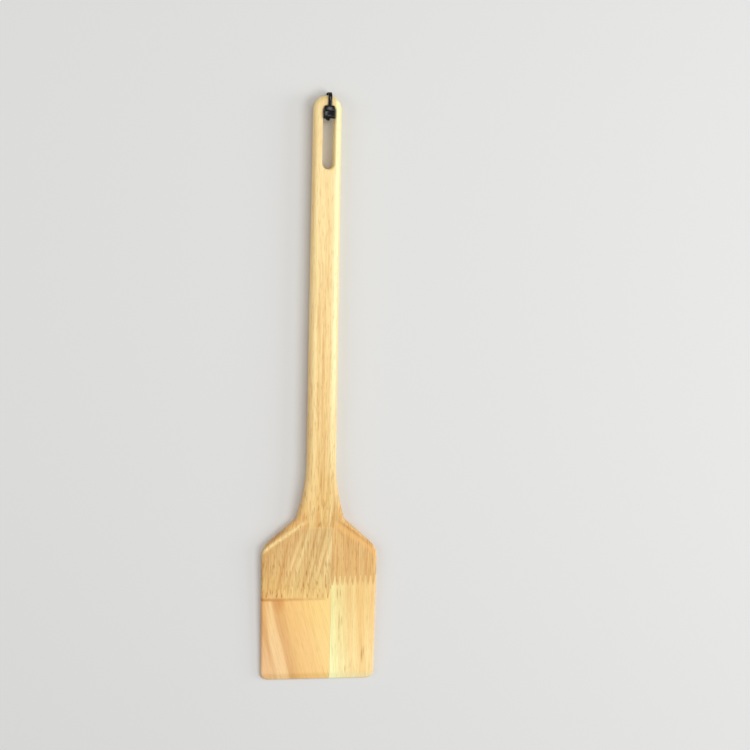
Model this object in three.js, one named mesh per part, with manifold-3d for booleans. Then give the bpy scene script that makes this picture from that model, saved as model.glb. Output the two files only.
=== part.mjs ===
import * as THREE from 'three';
import { mergeVertices } from 'three/addons/utils/BufferGeometryUtils.js';
import Module from 'manifold-3d';

// Wooden spatula, glued up from finger-jointed staves and then shaped.
// It lies on its back: +Y runs up the handle, +X to the right, +Z out of the front face.
// The origin is on the back face, half-way along the wood. Lengths are in millimetres,
// and a distance called "up" is measured from the tip of the blade.

// Outline
const LENGTH = 450;
const HANDLE_END_WIDTH = 21.2;
const HANDLE_NECK_WIDTH = 22.2;
const FLARE_UP = 172;
const NECK_CORNER_UP = 126.7;
const NECK_CORNER_WIDTH = 37.4;
const SHOULDER_SLOPE = 0.88;
const SHOULDER_ROUND = 16;
const BLADE_SHOULDER_WIDTH = 89.3;
const BLADE_TIP_WIDTH = 87.8;
const TIP_CORNER_ROUND = 5;

// Thickness
const HANDLE_THICKNESS = 13;
const BLADE_THICKNESS = 6.5;
const BLADE_THICKNESS_UP = 86;
const NECK_THICKNESS_UP = 158;
const TIP_BEVEL = 4.8;
const TIP_BEVEL_THICKNESS = 4;
const TIP_THICKNESS = 2;
const END_LIFT_UP = 350;
const END_LIFT = 2.8;

// Rounded edges
const HANDLE_ROUND = 4;
const BLADE_ROUND = 1.2;
const ROUND_SHARE = 0.4;
const ROUND_STEPS = 4;

// Dish below the neck, with low coved rims along the shoulders
const DISH_NECK_INSET = 8.7;
const DISH_SHOULDER_INSET = 5.1;
const DISH_COVE = 6.5;
const DISH_COVE_STEPS = 8;
const RIM_HEIGHT = 1.4;
const RIM_FULL_UP = 104;
const CREASE_ROOM = 1.1;

// Hanging slot
const SLOT_SIDE_WOOD = 6;
const SLOT_END_WOOD = 1.6;
const SLOT_LENGTH = 47.8;
const SLOT_OFFSET = 0.8;
const SLOT_ROUND = 1.4;
const SLOT_ROUND_STEPS = 3;

// Staves and the glue between them
const EDGE_GLUE_X = 9.4;
const LEFT_JOINT_UP = 68.3;
const RIGHT_JOINT_UP = 78.4;
const FINGER_PITCH = 4;
const FINGER_LENGTH = 7.6;
const FINGER_TIP = 0.8;
const STAVE_GAP = 0.3;
const GLUE_THICKNESS = 0.2;

// Tie through the slot
const TIE_WIDTH = 3.6;
const TIE_THICKNESS = 1.1;
const TIE_X = 1.3;
const TIE_FACE_GAP = 0.6;
const TIE_SLOT_GAP = 0.6;
const TIE_END_GAP = 1.2;
const TIE_END_BEND = 3.4;
const TIE_SLOT_BEND = 1;
const TIE_HEAD_WIDTH = 7.4;
const TIE_HEAD_LENGTH = 6.6;
const TIE_HEAD_HEIGHT = 4.6;
const TIE_HEAD_ROUND = 0.7;
const TIE_TAIL_LENGTH = 4.8;
const TIE_TAIL_TURN = 0.3;

// Steps of curves, and how far cutting solids reach past the wood
const ARC_STEPS = 6;
const DISC_STEPS = 48;
const TAPER_STEP = 4;
const REACH = 20;

const wasm = await Module();
wasm.setup();

const fromTip = (up) => up - LENGTH / 2;
const endCentreUp = LENGTH - HANDLE_END_WIDTH / 2;

// The slot leaves the same wood on both sides, and a little more over its end
const SLOT_WIDTH = HANDLE_END_WIDTH - 2 * SLOT_SIDE_WOOD;
const SLOT_BRIDGE = SLOT_SIDE_WOOD + SLOT_END_WOOD;

// Solids for cutting and joining
function toSolid(geometry) {
  const bare = geometry.clone();
  bare.deleteAttribute('normal');
  bare.deleteAttribute('uv');
  const merged = mergeVertices(bare, 1e-4);
  const vertProperties = new Float32Array(merged.attributes.position.array);
  const triVerts = new Uint32Array(merged.index.array);
  return new wasm.Manifold(new wasm.Mesh({ numProp: 3, vertProperties, triVerts }));
}

function toGeometry(solid) {
  const mesh = solid.getMesh();
  const geometry = new THREE.BufferGeometry();
  geometry.setAttribute('position', new THREE.BufferAttribute(new Float32Array(mesh.vertProperties), 3));
  geometry.setIndex(new THREE.BufferAttribute(new Uint32Array(mesh.triVerts), 1));
  geometry.computeVertexNormals();
  return geometry;
}

// Right-hand edge of the outline, from the tip corner to the middle of the round end
function sideOutline() {
  const neckX = NECK_CORNER_WIDTH / 2;
  const bladeX = BLADE_SHOULDER_WIDTH / 2;
  const cornerUp = NECK_CORNER_UP - (bladeX - neckX) * SHOULDER_SLOPE;
  const slopeAngle = Math.atan(SHOULDER_SLOPE);
  const turn = Math.PI / 2 - slopeAngle;
  const tangent = SHOULDER_ROUND * Math.tan(turn / 2);
  const flareRise = FLARE_UP - NECK_CORNER_UP;
  const flareRun = (NECK_CORNER_WIDTH - HANDLE_NECK_WIDTH) / 2;
  const flareRound = (flareRise ** 2 + flareRun ** 2) / (2 * flareRun);
  const flareTurn = Math.asin(flareRise / flareRound);
  const tipX = BLADE_TIP_WIDTH / 2 - TIP_CORNER_ROUND;
  const side = new THREE.Path();
  side.moveTo(tipX, 0);
  side.absarc(tipX, TIP_CORNER_ROUND, TIP_CORNER_ROUND, -Math.PI / 2, 0, false);
  side.lineTo(bladeX, cornerUp - tangent);
  side.absarc(bladeX - SHOULDER_ROUND, cornerUp - tangent, SHOULDER_ROUND, 0, turn, false);
  side.lineTo(neckX, NECK_CORNER_UP);
  side.absarc(HANDLE_NECK_WIDTH / 2 + flareRound, FLARE_UP, flareRound, Math.PI + flareTurn, Math.PI, true);
  side.lineTo(HANDLE_END_WIDTH / 2, endCentreUp);
  return side.getPoints(ARC_STEPS);
}

const sidePoints = sideOutline();

function halfWidth(up) {
  const next = sidePoints.findIndex((point) => point.y >= up);
  if (next < 0) return sidePoints[sidePoints.length - 1].x;
  if (next === 0) return sidePoints[0].x;
  const low = sidePoints[next - 1];
  const high = sidePoints[next];
  return THREE.MathUtils.mapLinear(up, low.y, high.y, low.x, high.x);
}

// How much wider a rounded edge spreads across the section where the outline slants
function slant(up) {
  const step = 0.5;
  const slope = (halfWidth(up + step) - halfWidth(up - step)) / (2 * step);
  return Math.min(Math.hypot(1, slope), 2);
}

// Where the dish's floor ends below the neck corner: the crease across the neck starts there
const shoulderInward = new THREE.Vector2(-SHOULDER_SLOPE, -1).normalize();
const dishCorner = new THREE.Vector2(NECK_CORNER_WIDTH / 2, NECK_CORNER_UP)
  .addScaledVector(shoulderInward, DISH_NECK_INSET);

// Front face: a bevel at the tip, the blade's taper, the rim, then the rise through the neck
const bladeSlope = (BLADE_THICKNESS - TIP_BEVEL_THICKNESS) / (BLADE_THICKNESS_UP - TIP_BEVEL);
const bladeFace = (up) => TIP_BEVEL_THICKNESS + bladeSlope * (up - TIP_BEVEL);
const neckShare = (up) => THREE.MathUtils.smoothstep(up, BLADE_THICKNESS_UP, NECK_THICKNESS_UP);

function frontFace(up) {
  if (up < TIP_BEVEL) return THREE.MathUtils.lerp(TIP_THICKNESS, TIP_BEVEL_THICKNESS, up / TIP_BEVEL);
  const rim = RIM_HEIGHT * THREE.MathUtils.smoothstep(up, BLADE_THICKNESS_UP, RIM_FULL_UP);
  const share = THREE.MathUtils.clamp((up - dishCorner.y) / (NECK_THICKNESS_UP - dishCorner.y), 0, 1);
  const rise = (HANDLE_THICKNESS - bladeFace(up)) * (1 - (1 - share) ** 2);
  return Math.min(bladeFace(up) + Math.max(rim, rise), HANDLE_THICKNESS);
}

// The back is flat, and lifts off the table towards the handle's end
const backFace = (up) => END_LIFT * Math.max(0, up - END_LIFT_UP) / (LENGTH - END_LIFT_UP);
const edgeRound = (up) => Math.min(
  THREE.MathUtils.lerp(BLADE_ROUND, HANDLE_ROUND, neckShare(up)), ROUND_SHARE * frontFace(up));

// Rows of the shaped blank: the outline's own points, and more where the face curves
function rowHeights() {
  const rows = sidePoints.map((point) => point.y);
  rows.push(TIP_BEVEL, BLADE_THICKNESS_UP, dishCorner.y, NECK_THICKNESS_UP, END_LIFT_UP);
  for (let up = BLADE_THICKNESS_UP; up < NECK_THICKNESS_UP; up += TAPER_STEP) rows.push(up);
  rows.sort((a, b) => a - b);
  return rows.filter((up, i) => up <= endCentreUp && (i === 0 || up - rows[i - 1] > 0.05));
}

// Each row of a box is pressed to the section at its height
function loftedBlank() {
  const rows = rowHeights();
  const columns = 2 * ROUND_STEPS + 1;
  const box = new THREE.BoxGeometry(columns, rows.length - 1, 1, columns, rows.length - 1, 1);
  const position = box.attributes.position;
  for (let i = 0; i < position.count; i += 1) {
    const up = rows[Math.round(position.getY(i) + (rows.length - 1) / 2)];
    const column = Math.round(position.getX(i) + columns / 2);
    const toEdge = Math.min(column, columns - column);
    const angle = (Math.PI / 2) * (1 - toEdge / ROUND_STEPS);
    const round = edgeRound(up);
    const inset = round * slant(up) * (1 - Math.sin(angle));
    const x = (halfWidth(up) - inset) * (column > ROUND_STEPS ? 1 : -1);
    const drop = round * (1 - Math.cos(angle));
    const z = position.getZ(i) > 0 ? frontFace(up) - drop : backFace(up) + drop;
    position.setXYZ(i, x, fromTip(up), z);
  }
  return toSolid(box);
}

// Round end of the handle: a disc with the handle's edge, lifted with the back
function roundEnd() {
  const radius = HANDLE_END_WIDTH / 2;
  const profile = [new THREE.Vector2(0, 0)];
  for (let step = 0; step <= ROUND_STEPS; step += 1) {
    const angle = (Math.PI / 2) * (step / ROUND_STEPS);
    const inset = HANDLE_ROUND * (1 - Math.sin(angle));
    profile.push(new THREE.Vector2(radius - inset, HANDLE_ROUND * (1 - Math.cos(angle))));
  }
  for (let step = ROUND_STEPS; step >= 0; step -= 1) {
    const angle = (Math.PI / 2) * (step / ROUND_STEPS);
    const inset = HANDLE_ROUND * (1 - Math.sin(angle));
    const drop = HANDLE_ROUND * (1 - Math.cos(angle));
    profile.push(new THREE.Vector2(radius - inset, HANDLE_THICKNESS - drop));
  }
  profile.push(new THREE.Vector2(0, HANDLE_THICKNESS));
  const disc = new THREE.LatheGeometry(profile, DISC_STEPS);
  disc.rotateX(Math.PI / 2);
  disc.translate(0, fromTip(endCentreUp), 0);
  const position = disc.attributes.position;
  for (let i = 0; i < position.count; i += 1) {
    const z = position.getZ(i);
    const lift = backFace(position.getY(i) + LENGTH / 2);
    const share = THREE.MathUtils.clamp(1 - (z - HANDLE_ROUND) / (HANDLE_THICKNESS - 2 * HANDLE_ROUND), 0, 1);
    position.setZ(i, z + lift * share);
  }
  return toSolid(disc);
}

// Slot cutter, flared at the front so that the slot's rim is rounded
function slotCutter() {
  const radius = SLOT_WIDTH / 2;
  const topUp = LENGTH - SLOT_BRIDGE - radius;
  const lowUp = LENGTH - SLOT_BRIDGE - SLOT_LENGTH + radius;
  const slot = new THREE.Shape();
  slot.absarc(SLOT_OFFSET, fromTip(topUp), radius, 0, Math.PI, false);
  slot.absarc(SLOT_OFFSET, fromTip(lowUp), radius, Math.PI, 2 * Math.PI, false);
  const body = new THREE.ExtrudeGeometry(slot, {
    depth: HANDLE_THICKNESS + REACH - SLOT_ROUND,
    curveSegments: 2 * ARC_STEPS,
    bevelSize: -SLOT_ROUND,
    bevelOffset: SLOT_ROUND,
    bevelThickness: SLOT_ROUND,
    bevelSegments: SLOT_ROUND_STEPS,
  });
  body.translate(0, 0, -REACH);
  return toSolid(body);
}

// Side view of the dish: open down to the floor, and from the crease on clear of the neck's face
function dishSide() {
  const room = CREASE_ROOM * 2 * (HANDLE_THICKNESS - bladeFace(dishCorner.y)) / (NECK_THICKNESS_UP - dishCorner.y);
  const edgeAt = (up) => bladeFace(up) + room * (up - dishCorner.y);
  const startUp = dishCorner.y - TAPER_STEP;
  const endUp = dishCorner.y + REACH;
  const points = [[-REACH, -REACH], [startUp, -REACH], [startUp, edgeAt(startUp)],
    [endUp, edgeAt(endUp)], [endUp, 2 * REACH], [-REACH, 2 * REACH]];
  return new THREE.Shape(points.map(([up, z]) => new THREE.Vector2(fromTip(up), z)));
}

// Dish cutter: its floor carries the blade's taper up to the neck, its walls are coved
function dishCutter() {
  const run = (BLADE_SHOULDER_WIDTH - NECK_CORNER_WIDTH) / 2;
  const atSide = new THREE.Vector2(BLADE_SHOULDER_WIDTH / 2, NECK_CORNER_UP - run * SHOULDER_SLOPE)
    .addScaledVector(shoulderInward, DISH_SHOULDER_INSET);
  const slope = (dishCorner.y - atSide.y) / (atSide.x - dishCorner.x);
  const apex = new THREE.Vector2(0, dishCorner.y + dishCorner.x * slope);
  const past = new THREE.Vector2((apex.y - BLADE_THICKNESS_UP) / slope, BLADE_THICKNESS_UP);
  const plan = [past, apex, new THREE.Vector2(-past.x, past.y)];
  const dish = new THREE.ExtrudeGeometry(new THREE.Shape(plan), {
    depth: REACH,
    bevelSize: DISH_COVE,
    bevelThickness: DISH_COVE,
    bevelSegments: DISH_COVE_STEPS,
  });
  dish.translate(0, -TIP_BEVEL, DISH_COVE);
  dish.rotateX(Math.atan(bladeSlope));
  dish.translate(0, fromTip(TIP_BEVEL), TIP_BEVEL_THICKNESS);
  const side = acrossHandle(dishSide(), 2 * (past.x + REACH), 0);
  return toSolid(dish).intersect(toSolid(side));
}

// Zigzag of one finger joint, from left to right
function fingerLine(fromX, toX, middleUp) {
  const rise = FINGER_LENGTH / 2;
  const flank = FINGER_PITCH / 2 - FINGER_TIP;
  const count = Math.max(1, Math.round((toX - fromX) / FINGER_PITCH));
  const points = [];
  for (let finger = 0; finger <= count; finger += 1) {
    const x = toX - (count - finger) * FINGER_PITCH;
    points.push(new THREE.Vector2(x - FINGER_TIP - flank, middleUp - rise));
    points.push(new THREE.Vector2(x - FINGER_TIP, middleUp + rise));
    points.push(new THREE.Vector2(x, middleUp + rise));
    points.push(new THREE.Vector2(x + flank, middleUp - rise));
  }
  return points;
}

// The same line moved sideways by a distance, its corners kept sharp
function shifted(points, distance) {
  return points.map((point, i) => {
    const before = points[Math.max(i - 1, 0)];
    const after = points[Math.min(i + 1, points.length - 1)];
    const first = (i === 0 ? after.clone().sub(point) : point.clone().sub(before)).normalize();
    const second = (i === points.length - 1 ? first.clone() : after.clone().sub(point)).normalize();
    const firstNormal = new THREE.Vector2(-first.y, first.x);
    const miter = firstNormal.clone().add(new THREE.Vector2(-second.y, second.x)).normalize();
    return point.clone().addScaledVector(miter, distance / miter.dot(firstNormal));
  });
}

// Upright prism over a plan, tall enough to pass through the wood
function planPrism(points) {
  const plan = points.map((point) => new THREE.Vector2(point.x, fromTip(point.y)));
  const prism = new THREE.ExtrudeGeometry(new THREE.Shape(plan), {
    depth: HANDLE_THICKNESS + 2 * REACH,
    bevelEnabled: false,
  });
  prism.translate(0, 0, -REACH);
  return toSolid(prism);
}

const wide = BLADE_SHOULDER_WIDTH / 2 + REACH;
const low = -REACH;
const high = LENGTH + REACH;
const halfGap = STAVE_GAP / 2;
const halfGlue = GLUE_THICKNESS / 2;

// Everything on one side of the glue line, between two lines across
function between(lower, upper) {
  return planPrism([...lower, ...upper.slice().reverse()]);
}

function across(fromX, toX, up) {
  return [new THREE.Vector2(fromX, up), new THREE.Vector2(toX, up)];
}

function sideOfGlue(fromX, toX) {
  return between(across(fromX, toX, low), across(fromX, toX, high));
}

// The shaped blank before it is thought of as staves again
const blank = loftedBlank().add(roundEnd()).subtract(dishCutter()).subtract(slotCutter());
const leftWood = blank.intersect(sideOfGlue(-wide, EDGE_GLUE_X - halfGap));
const rightWood = blank.intersect(sideOfGlue(EDGE_GLUE_X + halfGap, wide));
const leftFingers = fingerLine(-wide, EDGE_GLUE_X, LEFT_JOINT_UP);
const rightFingers = fingerLine(EDGE_GLUE_X - FINGER_PITCH, wide, RIGHT_JOINT_UP);

function belowJoint(fingers) {
  const line = shifted(fingers, -halfGap);
  return between(across(line[0].x, line[line.length - 1].x, low), line);
}

function aboveJoint(fingers) {
  const line = shifted(fingers, halfGap);
  return between(line, across(line[0].x, line[line.length - 1].x, high));
}

function inJoint(fingers) {
  return between(shifted(fingers, -halfGlue), shifted(fingers, halfGlue));
}

// Tie: a strap looped round the end of the slot, its head lying in the slot
const bridgeLow = LENGTH - SLOT_BRIDGE;
const bridgeBack = backFace(LENGTH - SLOT_BRIDGE / 2);
const tieCentreUp = (bridgeLow + LENGTH) / 2;
const tieCentreZ = (bridgeBack + HANDLE_THICKNESS) / 2;

// Lowest point of the slot's round end over a band of the tie's own width
function slotEndUp(width) {
  const radius = SLOT_WIDTH / 2;
  const reach = Math.min(Math.abs(TIE_X - SLOT_OFFSET) + width / 2, radius);
  return bridgeLow - radius + Math.sqrt(radius ** 2 - reach ** 2);
}

// The strap's inner face in the slot, half-way through the top of the head
const headUp = slotEndUp(TIE_HEAD_WIDTH) - TIE_SLOT_GAP;
const strapUp = Math.min(slotEndUp(TIE_WIDTH) - TIE_SLOT_GAP, headUp + TIE_THICKNESS / 2);

function loopShape(grow) {
  const low = strapUp - grow - tieCentreUp;
  const high = LENGTH + TIE_END_GAP + grow - tieCentreUp;
  const back = bridgeBack - TIE_FACE_GAP - grow - tieCentreZ;
  const front = HANDLE_THICKNESS + TIE_FACE_GAP + grow - tieCentreZ;
  const slotBend = TIE_SLOT_BEND + grow;
  const endBend = TIE_END_BEND + grow;
  const loop = new THREE.Shape();
  loop.absarc(low + slotBend, back + slotBend, slotBend, Math.PI, 1.5 * Math.PI, false);
  loop.absarc(high - endBend, back + endBend, endBend, 1.5 * Math.PI, 2 * Math.PI, false);
  loop.absarc(high - endBend, front - endBend, endBend, 0, 0.5 * Math.PI, false);
  loop.absarc(low + slotBend, front - slotBend, slotBend, 0.5 * Math.PI, Math.PI, false);
  return loop;
}

// A side view drawn in up and depth, pushed out to a width across X
function acrossHandle(shape, width, round) {
  const solid = new THREE.ExtrudeGeometry(shape, {
    depth: width - 2 * round,
    curveSegments: ARC_STEPS,
    bevelEnabled: round > 0,
    bevelSize: round,
    bevelOffset: -round,
    bevelThickness: round,
    bevelSegments: 2,
  });
  solid.translate(0, 0, round - width / 2);
  solid.applyMatrix4(new THREE.Matrix4().makeBasis(
    new THREE.Vector3(0, 1, 0), new THREE.Vector3(0, 0, 1), new THREE.Vector3(1, 0, 0)));
  return solid;
}

function rectangle(low, high, back, front) {
  return new THREE.Shape([
    new THREE.Vector2(low, back), new THREE.Vector2(high, back),
    new THREE.Vector2(high, front), new THREE.Vector2(low, front)]);
}

function tie() {
  const loop = loopShape(TIE_THICKNESS);
  loop.holes.push(new THREE.Path(loopShape(0).getPoints(ARC_STEPS).reverse()));
  const headHigh = headUp - tieCentreUp;
  const headLow = headHigh - TIE_HEAD_LENGTH;
  const headFront = HANDLE_THICKNESS + TIE_FACE_GAP + TIE_THICKNESS - tieCentreZ;
  const headBack = headFront - TIE_HEAD_HEIGHT;
  const head = acrossHandle(rectangle(headLow, headHigh, headBack, headFront), TIE_HEAD_WIDTH, TIE_HEAD_ROUND);
  const tail = acrossHandle(rectangle(-TIE_TAIL_LENGTH, 0, 0, TIE_THICKNESS), TIE_WIDTH, 0);
  tail.rotateZ(-TIE_TAIL_TURN);
  tail.translate(0, (headLow + headHigh) / 2, (headBack + headFront - TIE_THICKNESS) / 2);
  return toSolid(acrossHandle(loop, TIE_WIDTH, 0)).add(toSolid(head)).add(toSolid(tail));
}

const spatula = new THREE.Group();
spatula.name = 'wooden_spatula';

function addPiece(name, solid, color, roughness) {
  const material = new THREE.MeshStandardMaterial({ color, roughness, metalness: 0 });
  const piece = new THREE.Mesh(toGeometry(solid), material);
  piece.name = name;
  spatula.add(piece);
  return piece;
}

addPiece('handle_stave', leftWood.intersect(aboveJoint(leftFingers)), 0xdcb878, 0.6);
addPiece('side_stave', rightWood.intersect(aboveJoint(rightFingers)), 0xdaae6c, 0.6);
addPiece('left_blade_block', leftWood.intersect(belowJoint(leftFingers)), 0xe6bb7c, 0.6);
addPiece('right_blade_block', rightWood.intersect(belowJoint(rightFingers)), 0xf0d596, 0.6);

const glueColor = 0xb98a4a;
const edgeFilm = sideOfGlue(EDGE_GLUE_X - halfGlue, EDGE_GLUE_X + halfGlue);
addPiece('edge_glue_line', blank.intersect(edgeFilm), glueColor, 0.5);
addPiece('left_finger_glue', leftWood.intersect(inJoint(leftFingers)), glueColor, 0.5);
addPiece('right_finger_glue', rightWood.intersect(inJoint(rightFingers)), glueColor, 0.5);

const hangTie = addPiece('hang_tie', tie(), 0x141414, 0.45);
hangTie.position.set(TIE_X, fromTip(tieCentreUp), tieCentreZ);

export default spatula;
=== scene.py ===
# %% [markdown]
# # A wooden spatula, dressed in Blender
# The spatula is glued up from four staves of pale hardwood, shaped, dished below the neck and slotted
# for hanging, and a black tie hangs in the slot. The imported CAD model fixes every size and place, so
# this lesson starts by loading it.

# %% Load the fixed frame
import bpy
import math
from mathutils import Matrix, Vector


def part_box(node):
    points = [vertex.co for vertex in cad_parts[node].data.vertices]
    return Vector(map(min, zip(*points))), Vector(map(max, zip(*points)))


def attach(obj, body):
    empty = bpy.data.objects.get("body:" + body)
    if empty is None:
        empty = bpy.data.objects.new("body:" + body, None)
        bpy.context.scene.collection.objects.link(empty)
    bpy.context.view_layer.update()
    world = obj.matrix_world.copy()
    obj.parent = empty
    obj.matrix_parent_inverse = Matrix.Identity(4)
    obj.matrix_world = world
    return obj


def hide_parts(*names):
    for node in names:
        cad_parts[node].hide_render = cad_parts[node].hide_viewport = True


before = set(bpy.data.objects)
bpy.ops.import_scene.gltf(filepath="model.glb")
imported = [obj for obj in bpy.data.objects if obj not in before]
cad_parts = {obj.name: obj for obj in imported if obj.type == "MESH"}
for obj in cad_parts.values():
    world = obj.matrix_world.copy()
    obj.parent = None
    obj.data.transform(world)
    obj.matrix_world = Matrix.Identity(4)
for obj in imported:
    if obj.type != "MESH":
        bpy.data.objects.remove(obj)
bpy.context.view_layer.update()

# %% [markdown]
# ## The shaping rules
# A spatula maker works to a few numbers: widths along the length, thickness along the length, and how
# far each edge is rounded over. They are repeated here in millimetres, measured up from the tip of the
# blade, because every later step asks one of these small functions where the surface is.

# %% Sizes of the wood, in millimetres
LENGTH = 450.0
HANDLE_END_WIDTH, HANDLE_NECK_WIDTH = 21.2, 22.2
FLARE_UP, NECK_CORNER_UP, NECK_CORNER_WIDTH = 172.0, 126.7, 37.4
SHOULDER_SLOPE, SHOULDER_ROUND = 0.88, 16.0
BLADE_SHOULDER_WIDTH, BLADE_TIP_WIDTH, TIP_CORNER_ROUND = 89.3, 87.8, 5.0
HANDLE_THICKNESS, BLADE_THICKNESS = 13.0, 6.5
BLADE_THICKNESS_UP, NECK_THICKNESS_UP = 86.0, 158.0
TIP_BEVEL, TIP_BEVEL_THICKNESS, TIP_THICKNESS = 4.8, 4.0, 2.0
END_LIFT_UP, END_LIFT = 350.0, 2.8
HANDLE_ROUND, BLADE_ROUND, TIP_ROUND = 4.0, 1.2, 0.6
END_CENTRE_UP = LENGTH - HANDLE_END_WIDTH / 2
SLANT_LOW_UP, SLANT_HIGH_UP, SLANT_STEP, SLANT_LIMIT = 8.0, 430.0, 0.4, 2.0


def smooth_share(value, low, high):
    share = min(max((value - low) / (high - low), 0.0), 1.0)
    return share * share * (3 - 2 * share)


# %% Half of the width, up from the tip
def half_width(up):
    neck = NECK_CORNER_WIDTH / 2
    blade = BLADE_SHOULDER_WIDTH / 2
    corner_up = NECK_CORNER_UP - (blade - neck) * SHOULDER_SLOPE
    turn = math.pi / 2 - math.atan(SHOULDER_SLOPE)
    low_up = corner_up - SHOULDER_ROUND * math.tan(turn / 2)
    high_up = low_up + SHOULDER_ROUND * math.sin(turn)
    rise = FLARE_UP - NECK_CORNER_UP
    run = (NECK_CORNER_WIDTH - HANDLE_NECK_WIDTH) / 2
    flare = (rise * rise + run * run) / (2 * run)
    if up < TIP_CORNER_ROUND:
        drop = TIP_CORNER_ROUND - up
        across = math.sqrt(max(TIP_CORNER_ROUND ** 2 - drop ** 2, 0))
        return BLADE_TIP_WIDTH / 2 - TIP_CORNER_ROUND + across
    if up < low_up:
        share = (up - TIP_CORNER_ROUND) / (low_up - TIP_CORNER_ROUND)
        return BLADE_TIP_WIDTH / 2 + (blade - BLADE_TIP_WIDTH / 2) * share
    if up < high_up:
        return blade - SHOULDER_ROUND + math.sqrt(SHOULDER_ROUND ** 2 - (up - low_up) ** 2)
    if up < NECK_CORNER_UP:
        return neck + (NECK_CORNER_UP - up) / SHOULDER_SLOPE
    if up < FLARE_UP:
        return HANDLE_NECK_WIDTH / 2 + flare - math.sqrt(flare ** 2 - (FLARE_UP - up) ** 2)
    if up < END_CENTRE_UP:
        share = (up - FLARE_UP) / (END_CENTRE_UP - FLARE_UP)
        return (HANDLE_NECK_WIDTH + (HANDLE_END_WIDTH - HANDLE_NECK_WIDTH) * share) / 2
    return math.sqrt(max((HANDLE_END_WIDTH / 2) ** 2 - (up - END_CENTRE_UP) ** 2, 0))


def slant(up):
    """How much wider a rounded edge spreads across where the outline runs at an angle."""
    if not SLANT_LOW_UP < up < SLANT_HIGH_UP:
        return 1.0
    widening = half_width(up + SLANT_STEP) - half_width(up - SLANT_STEP)
    return min(math.hypot(1, widening), SLANT_LIMIT)


# %% Thickness and rounding, up from the tip
DISH_NECK_INSET, DISH_SHOULDER_INSET, DISH_COVE = 8.7, 5.1, 6.5
RIM_HEIGHT, RIM_FULL_UP, BEVEL_SANDING = 1.4, 104.0, 0.5
BLADE_SLOPE = (BLADE_THICKNESS - TIP_BEVEL_THICKNESS) / (BLADE_THICKNESS_UP - TIP_BEVEL)
SHOULDER_INWARD = Vector((-SHOULDER_SLOPE, -1)).normalized()
DISH_CORNER = Vector((NECK_CORNER_WIDTH / 2, NECK_CORNER_UP)) + SHOULDER_INWARD * DISH_NECK_INSET


def blade_face(up):
    return TIP_BEVEL_THICKNESS + BLADE_SLOPE * (up - TIP_BEVEL)


def rim_rise(up):
    return RIM_HEIGHT * smooth_share(up, BLADE_THICKNESS_UP, RIM_FULL_UP)


def neck_rise(up):
    share = min(max((up - DISH_CORNER.y) / (NECK_THICKNESS_UP - DISH_CORNER.y), 0.0), 1.0)
    return (HANDLE_THICKNESS - blade_face(up)) * (1 - (1 - share) ** 2)


def softer_min(first, second, soft):
    """The lower of two heights, with the ridge between them sanded off."""
    gap = max(soft - abs(first - second), 0.0) / soft
    return min(first, second) - gap * gap * soft / 4


def front_face(up):
    bevel = TIP_THICKNESS + (TIP_BEVEL_THICKNESS - TIP_THICKNESS) * up / TIP_BEVEL
    if up < BLADE_THICKNESS_UP:
        return softer_min(bevel, blade_face(up), BEVEL_SANDING)
    return min(blade_face(up) + max(rim_rise(up), neck_rise(up)), HANDLE_THICKNESS)


def back_face(up):
    return END_LIFT * max(0.0, up - END_LIFT_UP) / (LENGTH - END_LIFT_UP)


def edge_round(up):
    share = smooth_share(up, BLADE_THICKNESS_UP, NECK_THICKNESS_UP)
    return BLADE_ROUND + (HANDLE_ROUND - BLADE_ROUND) * share


def rounded_drop(distance, radius):
    """How far a rounded edge has fallen at a distance in from the outline."""
    inside = min(max(radius - distance, 0.0), radius)
    return radius - math.sqrt(radius * radius - inside * inside)


def edge_distance(x, up):
    """Distance in from the outline, in plan."""
    end = HANDLE_END_WIDTH / 2
    if up > END_CENTRE_UP:
        return end - math.hypot(x, up - END_CENTRE_UP)
    corner_x = BLADE_TIP_WIDTH / 2 - TIP_CORNER_ROUND
    if up < TIP_CORNER_ROUND and abs(x) > corner_x:
        return TIP_CORNER_ROUND - math.hypot(abs(x) - corner_x, TIP_CORNER_ROUND - up)
    return (half_width(up) - abs(x)) / slant(up)


print("half widths", [round(half_width(up), 2) for up in (0, 6, 60, 97, 110, 126, 150, 166, 439)])

# %% [markdown]
# ## The dish
# Below the neck the front is dished, so that two low rims run down the shoulders. A router makes it on
# the real one: a flat floor that carries the blade's taper on, with a coved wall. Here the wall is an
# arc of a circle, wider on the right, and a soft minimum takes the sharp crest off, as sanding does.

# %% Dish and slot, in millimetres
CREST_SANDING, NECK_SANDING, LEAST_SANDING = 0.25, 0.6, 0.001
DISH_OFFSET, RIGHT_COVE = 0.4, 9.0
SLOT_WIDTH, SLOT_LENGTH, SLOT_BRIDGE = 9.2, 47.8, 7.6
SLOT_OFFSET, SLOT_ROUND = 0.8, 1.4
SLOT_TOP_UP = LENGTH - SLOT_BRIDGE - SLOT_WIDTH / 2
SLOT_LOW_UP = LENGTH - SLOT_BRIDGE - SLOT_LENGTH + SLOT_WIDTH / 2


def dish_outward():
    """Direction out of the dish's floor, across the shoulder."""
    run = (BLADE_SHOULDER_WIDTH - NECK_CORNER_WIDTH) / 2
    at_side = Vector((BLADE_SHOULDER_WIDTH / 2, NECK_CORNER_UP - run * SHOULDER_SLOPE))
    along = (at_side + SHOULDER_INWARD * DISH_SHOULDER_INSET - DISH_CORNER).normalized()
    return Vector((-along.y, along.x))


DISH_OUTWARD = dish_outward()


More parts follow.
